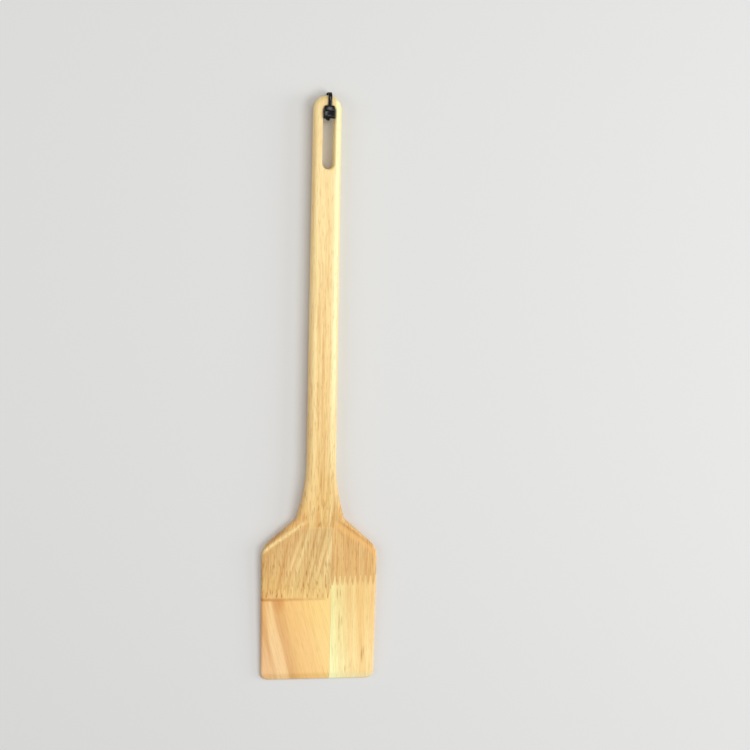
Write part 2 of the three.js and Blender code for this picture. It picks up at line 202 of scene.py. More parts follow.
def dished(x, up):
    """Height of the front face with the dish cut in."""
    if not BLADE_THICKNESS_UP < up < NECK_THICKNESS_UP:
        return front_face(up)
    beside = (Vector((abs(x - DISH_OFFSET), up)) - DISH_CORNER).dot(DISH_OUTWARD)
    wall = RIGHT_COVE if x > 0 else DISH_COVE
    inside = min(max(beside, 0.0), wall)
    cove = wall - math.sqrt(wall ** 2 - inside ** 2)
    rim = softer_min(rim_rise(up), cove, max(min(CREST_SANDING, cove), LEAST_SANDING))
    neck = neck_rise(up)
    return blade_face(up) - softer_min(-rim, -neck, max(min(NECK_SANDING, neck), LEAST_SANDING))


def slot_distance(x, up):
    """Distance outside the slot's edge, in plan."""
    nearest = min(max(up, SLOT_LOW_UP), SLOT_TOP_UP)
    return math.hypot(x - SLOT_OFFSET, up - nearest) - SLOT_WIDTH / 2


# %% [markdown]
# ## The shaped blank
# The real spatula is glued up first and shaped afterwards, so the blank comes first here too. A grid is
# added, pushed through into a slab, and every row of it is pressed to the section at its height. Rows
# lie close where the wood curves and far apart where it is straight, and columns crowd into the edges.

# %% Rows and columns of the blank
ROUND_STEPS, INNER_COLUMNS = 6, 72
COLUMNS = INNER_COLUMNS + 2 * ROUND_STEPS
TIP_ROWS = [0.0, 0.15, 0.4, 0.8, 1.3, 2.0, 2.9, 3.9]
ROW_STEPS = [
    (TIP_BEVEL, 0.8), (8.0, 4.0), (BLADE_THICKNESS_UP, 0.8), (134.0, 1.5), (170.0, 4.0), (386.0, 0.7)]
END_ROWS, LAST_ROW_ANGLE = 26, 89.2
EDGE_WIDTH_SHARE, BACK_ROUND_SHARE, SLOT_REACH = 0.45, 0.35, 8.0


def spread(low, high, step):
    count = max(1, round((high - low) / step))
    return [low + (high - low) * i / count for i in range(count)]


def blank_rows():
    """Heights of the rows: some at the tip, stretches with a step of their own, and the round end."""
    rows = list(TIP_ROWS)
    stretch_ends = [low for low, step in ROW_STEPS[1:]] + [END_CENTRE_UP]
    for (low, step), high in zip(ROW_STEPS, stretch_ends):
        rows += spread(low, high, step)
    for i in range(END_ROWS + 1):
        angle = math.radians(LAST_ROW_ANGLE * i / END_ROWS)
        rows.append(END_CENTRE_UP + HANDLE_END_WIDTH / 2 * math.sin(angle))
    return rows


def column_x(column, up):
    """Sideways place of a grid column in the row at this height."""
    half = half_width(up)
    edge = min(edge_round(up) * slant(up), EDGE_WIDTH_SHARE * half)
    to_edge = min(column, COLUMNS - column)
    side = 1 if column * 2 > COLUMNS else -1
    if to_edge <= ROUND_STEPS:
        angle = math.pi / 2 * (1 - to_edge / ROUND_STEPS)
        return side * (half - edge * (1 - math.sin(angle)))
    inner = (column - ROUND_STEPS) / INNER_COLUMNS
    return (half - edge) * (2 * inner - 1)


def small_rounds(x, up):
    """How far the rounds of the tip and of the slot have fallen here."""
    drop = rounded_drop(up, TIP_ROUND)
    if up > SLOT_LOW_UP - SLOT_REACH:
        drop += rounded_drop(max(slot_distance(x, up), 0.0), SLOT_ROUND)
    return drop


def front_height(x, up):
    return dished(x, up) - rounded_drop(edge_distance(x, up), edge_round(up)) - small_rounds(x, up)


def back_height(x, up):
    radius = min(edge_round(up), BACK_ROUND_SHARE * front_face(up))
    return back_face(up) + rounded_drop(edge_distance(x, up), radius) + small_rounds(x, up)


# %% Small helpers for objects
def deselect():
    bpy.ops.object.select_all(action="DESELECT")


def only(piece):
    deselect()
    piece.select_set(True)
    bpy.context.view_layer.objects.active = piece


def new_piece(name):
    piece = bpy.context.object
    piece.name = name
    piece.data.name = name
    return piece


def copy_of(piece, name):
    twin = piece.copy()
    twin.data = piece.data.copy()
    twin.name = name
    twin.data.name = name
    bpy.context.collection.objects.link(twin)
    return twin


def apply_boolean(piece, cutter, operation):
    only(piece)
    cut = piece.modifiers.new("cut", "BOOLEAN")
    cut.operation = operation
    cut.object = cutter
    cut.solver = "EXACT"
    bpy.ops.object.modifier_apply(modifier=cut.name)


def repeat(piece, count, step, merge):
    """Repeats a piece along a step, and merges the points where two copies meet if that is asked."""
    only(piece)
    row = piece.modifiers.new("row", "ARRAY")
    row.count = count
    row.use_relative_offset = False
    row.use_constant_offset = True
    row.constant_offset_displace = step
    row.use_merge_vertices = merge
    row.merge_threshold = MERGE_ROOM
    bpy.ops.object.modifier_apply(modifier=row.name)


def smooth(piece, degrees):
    only(piece)
    bpy.ops.object.shade_smooth_by_angle(angle=math.radians(degrees))
    piece.data.calc_loop_triangles()
    print(piece.name, len(piece.data.loop_triangles), "triangles")


# %% Small helpers for meshes, with the room in metres within which two points count as one
HAIR, MERGE_ROOM = 1e-6, 1e-5


def at(x, up, z):
    """A point in metres from millimetres, with its height up from the tip."""
    return Vector((x, up - LENGTH / 2, z)) / 1000


def size_of(piece):
    return [round(value * 1000, 2) for value in piece.dimensions]


def edit_all(piece):
    only(piece)
    bpy.ops.object.mode_set(mode="EDIT")
    bpy.ops.mesh.select_all(action="SELECT")


def leave_edit():
    bpy.ops.object.mode_set(mode="OBJECT")


def push_up(piece, height):
    """Pushes a flat sheet up into a closed block."""
    edit_all(piece)
    bpy.ops.mesh.extrude_region_move(TRANSFORM_OT_translate={"value": (0, 0, height)})
    bpy.ops.mesh.select_all(action="SELECT")
    bpy.ops.mesh.normals_make_consistent(inside=False)
    leave_edit()


def deselect_mesh(piece):
    leave_edit()
    for part in (piece.data.vertices, piece.data.edges, piece.data.polygons):
        for element in part:
            element.select = False


def select_edges(piece, wanted):
    """Selects the edges whose two ends pass a test, and leaves the piece in edit mode."""
    deselect_mesh(piece)
    points = piece.data.vertices
    for edge in piece.data.edges:
        if wanted(points[edge.vertices[0]].co, points[edge.vertices[1]].co):
            edge.select = True
            points[edge.vertices[0]].select = True
            points[edge.vertices[1]].select = True
    bpy.ops.object.mode_set(mode="EDIT")
    bpy.ops.mesh.select_mode(type="EDGE")


def select_faces(piece, wanted):
    """Selects the faces that pass a test, and leaves the piece in edit mode."""
    deselect_mesh(piece)
    for face in piece.data.polygons:
        face.select = wanted(face)
    bpy.ops.object.mode_set(mode="EDIT")
    bpy.ops.mesh.select_mode(type="FACE")


# %% Press a slab to the spatula's shape
deselect()
rows = blank_rows()
bpy.ops.mesh.primitive_grid_add(x_subdivisions=COLUMNS, y_subdivisions=len(rows) - 1, size=2)
blank = new_piece("spatula_blank")
push_up(blank, 1)
for vertex in blank.data.vertices:
    up = rows[round((vertex.co.y + 1) / 2 * (len(rows) - 1))]
    x = column_x(round((vertex.co.x + 1) / 2 * COLUMNS), up)
    z = front_height(x, up) if vertex.co.z > 0.5 else back_height(x, up)
    vertex.co = at(x, up, z)
print("blank", len(blank.data.vertices), "vertices")

# %% [markdown]
# ## The hanging slot
# A long slot with round ends lets the spatula hang on a hook or a rail. Its edge was already rounded
# over in the blank, so a straight-sided cutter is enough: a circle, pulled apart into a long shape with
# round ends and pushed up through the handle.

# %% Cut the slot, with a cutter that reaches well past the wood
CUT_REACH, CUT_HEIGHT, SLOT_SIDES = 20.0, 60.0, 96
slot_middle = (SLOT_LOW_UP - LENGTH / 2) / 1000
deselect()
bpy.ops.mesh.primitive_circle_add(vertices=SLOT_SIDES, radius=SLOT_WIDTH / 2000, fill_type="NGON",
                                  location=(SLOT_OFFSET / 1000, slot_middle, -CUT_REACH / 1000))
slot_cutter = new_piece("slot_cutter")
bpy.ops.object.transform_apply(location=True, rotation=False, scale=False)
for vertex in slot_cutter.data.vertices:
    if vertex.co.y > slot_middle + HAIR:
        vertex.co.y += (SLOT_TOP_UP - SLOT_LOW_UP) / 1000
push_up(slot_cutter, CUT_HEIGHT / 1000)
apply_boolean(blank, slot_cutter, "DIFFERENCE")
bpy.data.objects.remove(slot_cutter)
print("slotted blank", len(blank.data.polygons), "faces")

# %% [markdown]
# ## Sawing the blank apart along its glue lines
# The staves differ in colour and grain, so each has to be a piece of its own. The blank is cut in two
# along the straight edge joint with a bisect, which fills the cut, and each half is then cut by a comb
# with the profile of the finger joint. A hair's gap is left for the glue.

# %% The straight edge joint
EDGE_GLUE_X, STAVE_GAP, GLUE_THICKNESS = 9.4, 0.1, 0.08
BISECT_ROOM = 1e-7


def keep_side(piece, x, keep_left):
    """Cuts a piece across and keeps one side, with room far finer than the film of glue."""
    edit_all(piece)
    bpy.ops.mesh.bisect(plane_co=(x / 1000, 0, 0), plane_no=(1, 0, 0), use_fill=True,
                        threshold=BISECT_ROOM, clear_outer=keep_left, clear_inner=not keep_left)
    leave_edit()


left_row = copy_of(blank, "left_row")
keep_side(left_row, EDGE_GLUE_X - STAVE_GAP / 2, True)
right_row = copy_of(blank, "right_row")
keep_side(right_row, EDGE_GLUE_X + STAVE_GAP / 2, False)
edge_glue = copy_of(blank, "edge_glue")
keep_side(edge_glue, EDGE_GLUE_X + GLUE_THICKNESS / 2, True)
keep_side(edge_glue, EDGE_GLUE_X - GLUE_THICKNESS / 2, False)
print("rows", len(left_row.data.polygons), len(right_row.data.polygons))

# %% [markdown]
# ## The finger joints
# Finger joints are cut with a comb of tapered teeth. One tooth is modelled from a plane: its top edge
# is divided, and the middle part is pulled out and narrowed. An array repeats it, and the sheet is pushed
# through into a comb-shaped block. Growing or shrinking the tooth a little gives the wood on either
# side of the joint, and the film of glue between them.

# %% One comb for each side of a joint
LEFT_JOINT_UP, RIGHT_JOINT_UP = 68.3, 78.4
FINGER_PITCH, FINGER_LENGTH, FINGER_TIP = 4.0, 7.6, 0.8


def comb(name, finger_end_x, count, middle_up, grow):
    flank = FINGER_PITCH / 2 - FINGER_TIP
    lean = flank / FINGER_LENGTH
    wider = grow * (math.hypot(1, lean) - lean)
    tip_half = FINGER_TIP / 2 + wider
    base_half = FINGER_TIP / 2 + flank + wider
    valley = middle_up - FINGER_LENGTH / 2 + grow
    first_x = finger_end_x - FINGER_TIP / 2 - (count - 1) * FINGER_PITCH
    deselect()
    bpy.ops.mesh.primitive_plane_add(size=1)
    piece = new_piece(name)
    for vertex in piece.data.vertices:
        x = first_x + FINGER_PITCH * vertex.co.x
        up = valley if vertex.co.y > 0 else -CUT_REACH
        vertex.co = at(x, up, -CUT_REACH)
    top = (valley - LENGTH / 2) / 1000
    centre = first_x / 1000

    def on_tooth(point):
        return point.y > top - HAIR and abs(point.x - centre) < base_half / 1000 + HAIR

    select_edges(piece, lambda a, b: min(a.y, b.y) > top - HAIR)
    bpy.ops.mesh.subdivide(number_cuts=2)
    leave_edit()
    for vertex in piece.data.vertices:
        offset = vertex.co.x * 1000 - first_x
        if vertex.co.y > top - HAIR and abs(offset) < FINGER_PITCH / 3:
            vertex.co.x = (first_x + math.copysign(base_half, offset)) / 1000
    select_edges(piece, lambda a, b: on_tooth(a) and on_tooth(b))
    bpy.ops.mesh.extrude_edges_move(TRANSFORM_OT_translate={"value": (0, FINGER_LENGTH / 1000, 0)})
    leave_edit()
    for vertex in piece.data.vertices:
        if vertex.co.y > top + HAIR:
            vertex.co.x = centre + math.copysign(tip_half / 1000, vertex.co.x - centre)
    repeat(piece, count, (FINGER_PITCH / 1000, 0, 0), merge=True)
    push_up(piece, CUT_HEIGHT / 1000)
    return piece


# %% Cut each row into its upper stave, lower block and film of glue
def cut_joint(row, finger_end_x, count, middle_up, upper_name, lower_name, glue_name):
    upper = copy_of(row, upper_name)
    lower = copy_of(row, lower_name)
    glue = copy_of(row, glue_name)
    jobs = ((upper, STAVE_GAP / 2, "DIFFERENCE"), (lower, -STAVE_GAP / 2, "INTERSECT"),
            (glue, GLUE_THICKNESS / 2, "INTERSECT"), (glue, -GLUE_THICKNESS / 2, "DIFFERENCE"))
    for piece, grow, operation in jobs:
        cutter = comb("comb", finger_end_x, count, middle_up, grow)
        apply_boolean(piece, cutter, operation)
        bpy.data.objects.remove(cutter)
    bpy.data.objects.remove(row)
    return upper, lower, glue


WOOD_SMOOTH_ANGLE = 40
reach_x = BLADE_SHOULDER_WIDTH / 2 + CUT_REACH
left_count = round((EDGE_GLUE_X + reach_x) / FINGER_PITCH) + 1
right_count = round((reach_x - EDGE_GLUE_X + FINGER_PITCH) / FINGER_PITCH) + 1
handle_stave, left_block, left_glue = cut_joint(
    left_row, EDGE_GLUE_X, left_count, LEFT_JOINT_UP,
    "handle_stave_wood", "left_block_wood", "left_glue_film")
side_stave, right_block, right_glue = cut_joint(
    right_row, reach_x, right_count, RIGHT_JOINT_UP,
    "side_stave_wood", "right_block_wood", "right_glue_film")
bpy.data.objects.remove(blank)
for piece in (handle_stave, side_stave, left_block, right_block, left_glue, right_glue, edge_glue):
    smooth(piece, WOOD_SMOOTH_ANGLE)

# %% [markdown]
# ## The strap of the tie
# A thin nylon tie is looped round the end of the handle, through the slot. Its strap is a flat strip,
# so a small rectangle with rounded corners is drawn at one place of the loop and swept round it: pushed
# along the straight runs, and spun a quarter turn at each bend. The last ring lands on the first.

# %% Sweep the strap round the end of the handle
TIE_WIDTH, TIE_THICKNESS, TIE_X = 3.0, 0.75, 1.3
STRAP_LOW_UP, STRAP_FRONT, SLOT_BEND, END_BEND = 439.63, 14.37, 1.0, 3.4
STRAP_CORNER, BEND_STEPS, BOX_ROOM = 0.3, 8, 0.01
tie_low, tie_high = [corner * 1000 for corner in map(Vector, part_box("hang_tie"))]
half_strap = TIE_THICKNESS / 2 + BOX_ROOM
loop_low = STRAP_LOW_UP - half_strap
loop_high = tie_high.y + LENGTH / 2 - half_strap
loop_back = tie_low.z + half_strap
loop_front = STRAP_FRONT - half_strap
slot_turn = SLOT_BEND + half_strap
end_turn = END_BEND + half_strap


def run(up, z):
    """Goes straight on by so much."""
    step = Vector((0, up, z)) / 1000
    bpy.ops.mesh.extrude_edges_move(TRANSFORM_OT_translate={"value": step})


def bend(up, z):
    """Goes a quarter turn round a centre."""
    bpy.ops.mesh.spin(steps=BEND_STEPS, angle=math.pi / 2, center=at(TIE_X, up, z), axis=(1, 0, 0))


deselect()
start_up = (loop_low + loop_high) / 2
bpy.ops.mesh.primitive_plane_add(size=1, location=at(TIE_X, start_up, loop_front),
                                 rotation=(math.pi / 2, 0, 0))
strap = new_piece("tie_strap")
bpy.ops.transform.resize(value=(TIE_WIDTH / 1000, 1, TIE_THICKNESS / 1000))
bpy.ops.object.transform_apply(location=True, rotation=True, scale=True)
edit_all(strap)
bpy.ops.mesh.bevel(offset=STRAP_CORNER / 1000, segments=2, affect="VERTICES")
bpy.ops.mesh.delete(type="ONLY_FACE")
bpy.ops.mesh.select_mode(type="EDGE")
bpy.ops.mesh.select_all(action="SELECT")
run(loop_high - end_turn - start_up, 0)
bend(loop_high - end_turn, loop_front - end_turn)
run(0, loop_back - loop_front + 2 * end_turn)
bend(loop_high - end_turn, loop_back + end_turn)
run(loop_low + slot_turn - loop_high + end_turn, 0)
bend(loop_low + slot_turn, loop_back + slot_turn)
run(0, loop_front - loop_back - 2 * slot_turn)
bend(loop_low + slot_turn, loop_front - slot_turn)
run(start_up - loop_low - slot_turn, 0)
bpy.ops.mesh.select_all(action="SELECT")
bpy.ops.mesh.remove_doubles(threshold=MERGE_ROOM)
bpy.ops.mesh.normals_make_consistent(inside=False)
leave_edit()
print("strap", size_of(strap), len(strap.data.polygons), "faces")

# %% [markdown]
# ## The head and tail of the tie
# The head is a small moulded block with a sloped top, a lip over the end of the slot and a window where
# the catch sits, and the strap's cut-off tail sticks out of it. A cube is divided with a bisect, and the
# lip is pulled out of its upper part and narrowed. The two ends of the top are lowered, the lower one is
# clipped with a bevel, and the window is inset and pushed in. A bevel modifier makes the moulding's
# small edge rounds. One tooth of the tail is modelled and repeated with an array.

# %% Mould the head
HEAD_WIDTH, HEAD_LENGTH, HEAD_HEIGHT = 8.4, 6.6, 4.6
HEAD_X, HEAD_TOP_UP, HEAD_DROP, HEAD_CLIP = 0.9, 439.08, 0.5, 1.1
LIP_LENGTH, LIP_HEIGHT, LIP_DROP, LIP_TAPER = 3.1, 1.2, 0.3, 0.84
WINDOW_RIM, WINDOW_DEPTH, HEAD_ROUND = 0.9, 0.7, 0.3
ROUNDED_FROM_ANGLE = 10
head_middle = at(HEAD_X, HEAD_TOP_UP - HEAD_LENGTH / 2, tie_high.z - HEAD_HEIGHT / 2)
head_size = Vector((HEAD_WIDTH, HEAD_LENGTH, HEAD_HEIGHT)) / 1000
lip_z = (tie_high.z - LIP_HEIGHT) / 1000


def round_edges(piece, width, segments):
    only(piece)
    softener = piece.modifiers.new("edge rounds", "BEVEL")
    softener.width = width / 1000
    softener.segments = segments
    softener.limit_method = "ANGLE"
    softener.angle_limit = math.radians(ROUNDED_FROM_ANGLE)
    bpy.ops.object.modifier_apply(modifier=softener.name)


deselect()
bpy.ops.mesh.primitive_cube_add(size=1, location=head_middle)
head = new_piece("tie_head")
bpy.ops.transform.resize(value=head_size)
bpy.ops.object.transform_apply(location=True, rotation=True, scale=True)
edit_all(head)
bpy.ops.mesh.bisect(plane_co=(0, 0, lip_z), plane_no=(0, 0, 1))
select_faces(head, lambda face: face.normal.y > 0.9 and face.center.z > lip_z)
bpy.ops.mesh.extrude_region_move(TRANSFORM_OT_translate={"value": (0, LIP_LENGTH / 1000, 0)})
bpy.ops.transform.resize(value=(LIP_TAPER, 1, 1))
lip_end = at(0, HEAD_TOP_UP + LIP_LENGTH, 0).y - HAIR
top_z = tie_high.z / 1000 - HAIR
select_edges(head, lambda a, b: min(a.y, b.y) > lip_end and min(a.z, b.z) > top_z)
bpy.ops.transform.translate(value=(0, 0, -LIP_DROP / 1000))
low_end = at(0, HEAD_TOP_UP - HEAD_LENGTH, 0).y + HAIR
select_edges(head, lambda a, b: max(a.y, b.y) < low_end and min(a.z, b.z) > top_z)
bpy.ops.transform.translate(value=(0, 0, -HEAD_DROP / 1000))
bpy.ops.mesh.bevel(offset=HEAD_CLIP / 1000, segments=1)
bpy.ops.mesh.select_all(action="SELECT")
bpy.ops.mesh.remove_doubles(threshold=MERGE_ROOM)
select_faces(head, lambda face: face.normal.z > 0.9 and face.normal.y < -0.01)
bpy.ops.mesh.inset(thickness=WINDOW_RIM / 1000, depth=0)
bpy.ops.mesh.extrude_region_move(TRANSFORM_OT_translate={"value": (0, 0, -WINDOW_DEPTH / 1000)})
leave_edit()
round_edges(head, HEAD_ROUND, 3)
print("head", size_of(head), len(head.data.polygons), "faces")

# %% Cut the tail and its teeth
TAIL_LENGTH, TAIL_TURN, TAIL_ROUND = 4.8, 0.3, 0.2
TOOTH_PITCH, TOOTH_HEIGHT, TOOTH_WIDTH, TOOTH_COUNT = 0.9, 0.22, 2.6, 4
TOOTH_SHARE, TIE_SMOOTH_ANGLE = 0.9, 35
tail_thickness = TIE_THICKNESS - TOOTH_HEIGHT
tail_middle = head_middle + Vector((0, -TAIL_LENGTH / 2, -TOOTH_HEIGHT / 2)) / 1000
deselect()
bpy.ops.mesh.primitive_cube_add(size=1, location=tail_middle)
tail = new_piece("tie_tail")
bpy.ops.transform.resize(value=(TIE_WIDTH / 1000, TAIL_LENGTH / 1000, tail_thickness / 1000))
bpy.ops.object.transform_apply(location=True, rotation=True, scale=True)
round_edges(tail, TAIL_ROUND, 2)
deselect()
tooth_z = tail_middle.z + tail_thickness / 2000
tooth_y = tail_middle.y - TAIL_LENGTH / 2000 + TOOTH_PITCH / 1000
tooth_size = Vector((TOOTH_WIDTH, TOOTH_PITCH * TOOTH_SHARE, TOOTH_HEIGHT * 2)) / 1000
bpy.ops.mesh.primitive_cube_add(size=1, location=(tail_middle.x, tooth_y, tooth_z))
tooth = new_piece("tie_tooth")
bpy.ops.transform.resize(value=tooth_size)
bpy.ops.object.transform_apply(location=True, rotation=True, scale=True)
for vertex in tooth.data.vertices:
    if vertex.co.y > tooth_y and vertex.co.z > tooth_z:
        vertex.co.z -= TOOTH_HEIGHT * TOOTH_SHARE / 1000
repeat(tooth, TOOTH_COUNT, (0, TOOTH_PITCH / 1000, 0), merge=False)
apply_boolean(tail, tooth, "UNION")
bpy.data.objects.remove(tooth)
edit_all(tail)
bpy.ops.transform.rotate(value=TAIL_TURN, orient_axis="Z", center_override=head_middle)
leave_edit()
for piece in (strap, head, tail):
    smooth(piece, TIE_SMOOTH_ANGLE)

# %% [markdown]
# ## Building a finish from nodes
# Every finish here is drawn by nodes from a point's own place in the wood, in millimetres, so it runs
# through the piece like real grain and can be seen from all sides. A few short helpers keep the recipes
# readable: a colour as picked on screen, a node with its inputs, a sum, a ramp across some millimetres.

# %% Helpers for finishes
def paint(red, green, blue):
    """A colour picked on screen, from 0 to 255, as the linear numbers that a shader takes."""
    shares = [value / 255 for value in (red, green, blue)]
    return tuple(s / 12.92 if s <= 0.04045 else ((s + 0.055) / 1.055) ** 2.4 for s in shares) + (1.0,)


def grey(level):
    return (level, level, level, 1.0)


def add_node(tree, kind, inputs, **settings):
    node = tree.nodes.new("ShaderNode" + kind)
    for name, value in settings.items():
        setattr(node, name, value)
    for name, value in inputs.items():
        if isinstance(value, bpy.types.NodeSocket):
            tree.links.new(value, node.inputs[name])
        else:
            node.inputs[name].default_value = value
    return node


def maths(tree, operation, *values):
    return add_node(tree, "Math", dict(enumerate(values)), operation=operation).outputs[0]


def product(tree, first, *others):
    for other in others:
        first = maths(tree, "MULTIPLY", first, other)
    return first


def rescale(tree, value, low, high, to_low=0.0, to_high=1.0):
    inputs = dict(enumerate((value, low, high, to_low, to_high)))
    return add_node(tree, "MapRange", inputs, clamp=True).outputs[0]


def near(tree, value, middle, half):
    """1 where a value is at the middle, falling to 0 at half a width on either side."""
    away = maths(tree, "ABSOLUTE", maths(tree, "SUBTRACT", value, middle))
    return rescale(tree, away, 0.0, half, 1.0, 0.0)


def combine(tree, x, y=0.0, z=0.0):
    return add_node(tree, "CombineXYZ", {0: x, 1: y, 2: z}).outputs[0]


def mix(tree, share, first, second, mode="MIX"):
    inputs = {"Fac": share, "Color1": first, "Color2": second}
    return add_node(tree, "MixRGB", inputs, blend_type=mode).outputs[0]


def shade(tree, share, color, tint):
    return mix(tree, share, color, tint, "MULTIPLY")


def ramp(tree, value, stops):
    """Colours along a value, from a list of places and colours."""
    low = stops[0][0]
    high = stops[-1][0]
    node = add_node(tree, "ValToRGB", {0: rescale(tree, value, low, high)})
    node.color_ramp.elements[0].color = stops[0][1]
    node.color_ramp.elements[1].color = stops[-1][1]
    for place, color in stops[1:-1]:
        node.color_ramp.elements.new((place - low) / (high - low)).color = color
    return node.outputs[0]


def new_finish(name):
    """A new material, its nodes, and a point's own place in metres."""
    finish = bpy.data.materials.new(name)
    finish.use_nodes = True
    tree = finish.node_tree
    return finish, tree, tree.nodes.new("ShaderNodeTexCoord").outputs["Object"]


def set_shader(tree, color, roughness, specular, height, bump_depth):
    shader = tree.nodes["Principled BSDF"]
    bump = add_node(tree, "Bump", {"Height": height, "Strength": 0.2, "Distance": bump_depth})
    tree.links.new(color, shader.inputs["Base Color"])
    tree.links.new(roughness, shader.inputs["Roughness"])
    tree.links.new(bump.outputs[0], shader.inputs["Normal"])
    shader.inputs["Specular IOR Level"].default_value = specular


def noise(tree, vector, scale, seed, detail):
    shift = (seed * 7.3, seed * 3.1, seed)
    stretched = add_node(tree, "Mapping", {"Vector": vector, "Scale": scale, "Location": shift})
    inputs = {"Vector": stretched.outputs[0], "Scale": 1.0, "Detail": detail}
    return add_node(tree, "TexNoise", inputs).outputs[0]


# %% [markdown]
# ## Marks placed one by one
# Noise makes wood in general, but a certain board also has its own streaks and flecks, and some light
# and shade is painted into its colour too. These helpers place such marks: a soft oval that may lean, a
# band along a wall of the dish, painted light and shade on the bevel of the tip, and short dark dashes at
# some fingertips, where the cutter tore the wood.

# %% Streaks, coves and fingertips
def spot(tree, x, up, middle_x, middle_up, half_x, half_up, slope=0.0):
    """A soft oval, 1 at its middle and 0 at its rim, that leans with the slope as it rises."""
    above = maths(tree, "SUBTRACT", up, middle_up)
    aside = maths(tree, "SUBTRACT", x, middle_x)
    if slope:
        aside = maths(tree, "SUBTRACT", aside, product(tree, above, slope))
    place = combine(tree, maths(tree, "DIVIDE", aside, half_x), maths(tree, "DIVIDE", above, half_up))
    far = add_node(tree, "VectorMath", {0: place}, operation="LENGTH").outputs["Value"]
    return rescale(tree, far, 1.0, 0.0)


def spots(tree, x, up, places):
    share = spot(tree, x, up, *places[0])
    for place in places[1:]:
        share = maths(tree, "MAXIMUM", share, spot(tree, x, up, *place))
    return share


def on_front(tree, depth):
    """1 on the front of the blade and neck, and 0 on the back."""
    return rescale(tree, depth, 3.5, 5.5)


def on_bevel(tree, up, strength):
    return rescale(tree, up, TIP_BEVEL + 0.8, TIP_BEVEL - 1.2, 0.0, strength)


def cove_band(tree, x, up, depth, side, middle, half):
    """A soft band along one wall of the dish, with side 1 on the right and -1 on the left."""
    from_corner = maths(tree, "SUBTRACT", x, DISH_OFFSET + side * DISH_CORNER.x)
    aside = product(tree, from_corner, side * DISH_OUTWARD.x)
    along = product(tree, maths(tree, "SUBTRACT", up, DISH_CORNER.y), DISH_OUTWARD.y)
    band = near(tree, maths(tree, "ADD", aside, along), middle, half)
    begins = rescale(tree, up, 88.0, 98.0)
    ends = rescale(tree, up, 127.0, 121.0)
    return product(tree, band, begins, ends, on_front(tree, depth))


def finger_noise(tree, x, scale, seed):
    """A slow noise across a row of fingers, so that one differs from the next."""
    return noise(tree, combine(tree, x), (scale, 1, 1), seed, 0)


def fingertips(tree, x, up, finger_end_x, middle_up, seed):
    """Short dashes at some of the tips that point down in a row of fingers."""
    tip_x = finger_end_x - FINGER_TIP / 2 - FINGER_PITCH / 2
    turn = product(tree, maths(tree, "SUBTRACT", x, tip_x), 2 * math.pi / FINGER_PITCH)
    tips = rescale(tree, maths(tree, "COSINE", turn), 0.5, 1.0)
    some = rescale(tree, finger_noise(tree, x, 0.24, seed), 0.38, 0.56)
    return product(tree, tips, some, near(tree, up, middle_up, 3.0))


# %% [markdown]
# ## Wood
# All four staves are the same pale, oily-yellow hardwood, yet each came from another board: one is
# straw-coloured with open pores, one has a pink stripe, one is cut in pale and tan bands. So one recipe
# draws wood in general, with bands across, long soft streaks, fine lines and short dark pores. Its
# yearly rings lean back from the front. Each stave calls it with its own bands, lean and strengths.

# %% Wood in general, with the scales of its noise across, up and inwards
DRIFT_SCALE, STREAK_SCALE = (0.05, 0.008, 0.05), (0.42, 0.011, 0.42)
LINE_SCALE, PORE_SCALE = (1.9, 0.045, 1.9), (1.1, 0.13, 1.1)
PALE_WOOD = paint(255, 238, 182)
BROWN_SHADE = paint(222, 196, 160)
LINE_SHADE = paint(214, 184, 146)
PORE_SHADE = paint(186, 150, 108)
RING_LEAN, NECK_FALL = 0.5, 6.0


def tilt(tree, across, up, depth):
    """Leans the yearly rings back from the front face, so that the sides show long lines too."""
    fall = rescale(tree, up, DISH_CORNER.y, NECK_THICKNESS_UP, 1.0, 0.0)
    front = maths(tree, "MULTIPLY_ADD", product(tree, fall, fall), -NECK_FALL, HANDLE_THICKNESS)
    return maths(tree, "MULTIPLY_ADD", maths(tree, "SUBTRACT", depth, front), RING_LEAN, across)


def wood(name, bands, seed, lean, fibre_lean, wander, dark, pale, fine, pores, touch):
    finish, tree, place = new_finish(name)
    sizes = {"Vector": place, "Location": (0, LENGTH / 2, 0), "Scale": (1000, 1000, 1000)}
    millimetres = add_node(tree, "Mapping", sizes).outputs[0]
    x, up, depth = add_node(tree, "SeparateXYZ", {0: millimetres}).outputs
    drift = maths(tree, "SUBTRACT", noise(tree, millimetres, DRIFT_SCALE, seed, 2), 0.5)
    straight = maths(tree, "MULTIPLY_ADD", drift, 5 * wander, x)
    across = maths(tree, "ADD", straight, lean(tree, up)) if lean else straight
    along = maths(tree, "ADD", straight, fibre_lean(tree, up)) if fibre_lean else straight
    inwards = product(tree, depth, 0.12)
    figure = combine(tree, tilt(tree, across, up, depth), up, inwards)
    fibres = combine(tree, tilt(tree, along, up, depth), up, inwards)
    broad = noise(tree, figure, STREAK_SCALE, seed + 1, 3)
    lines = noise(tree, fibres, LINE_SCALE, seed + 2, 2)
    dashes = noise(tree, fibres, PORE_SCALE, seed + 3, 1)
    color = ramp(tree, across, bands)
    color = shade(tree, rescale(tree, broad, 0.5, 0.72, 0.0, dark), color, BROWN_SHADE)
    color = mix(tree, rescale(tree, broad, 0.48, 0.28, 0.0, pale), color, PALE_WOOD)
    color = shade(tree, rescale(tree, lines, 0.45, 0.7, 0.0, fine), color, LINE_SHADE)
    open_pores = rescale(tree, dashes, 0.56, 0.68, 0.0, pores)
    color, open_pores = touch(tree, color, open_pores, x, up, depth)
    color = shade(tree, open_pores, color, PORE_SHADE)
    roughness = rescale(tree, lines, 0.3, 0.7, 0.44, 0.58)
    height = maths(tree, "SUBTRACT", product(tree, lines, 0.4), open_pores)
    set_shader(tree, color, roughness, specular=0.45, height=height, bump_depth=0.0002)
    return finish


